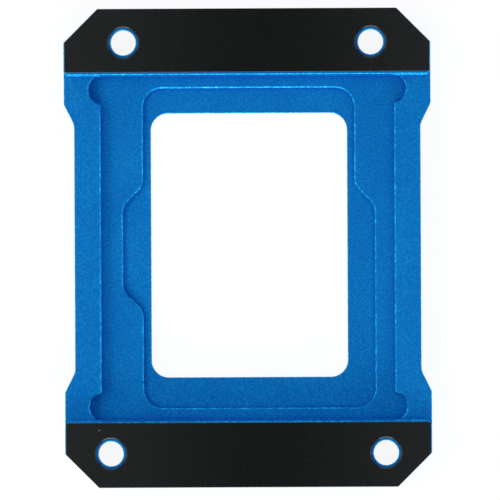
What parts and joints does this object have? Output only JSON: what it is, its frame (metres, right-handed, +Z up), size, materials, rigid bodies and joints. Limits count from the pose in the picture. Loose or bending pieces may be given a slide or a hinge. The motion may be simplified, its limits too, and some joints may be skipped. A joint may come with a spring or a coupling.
{
  "type": "cpu socket retention frame",
  "caption": "Flat rectangular metal frame with a stepped window and padded ends that clamps a processor in its socket.",
  "frame": {"origin": "centre of the cooler face, on the plane the frame lies on", "axes": "+Z up from the cooler face to the board face with the pads, +Y along the length towards the end whose screw holes stand closer together, +X across the width"},
  "size_m": [0.054, 0.0706, 0.006],
  "materials": {
    "anodised_blue_aluminium": "bead-blasted and anodised blue, satin",
    "black_insulating_film": "satin black die-cut film"
  },
  "bodies": {
    "root": {"machined_frame": "anodised_blue_aluminium", "upper_insulating_pad": "black_insulating_film", "lower_insulating_pad": "black_insulating_film"}
  },
  "joints": []
}
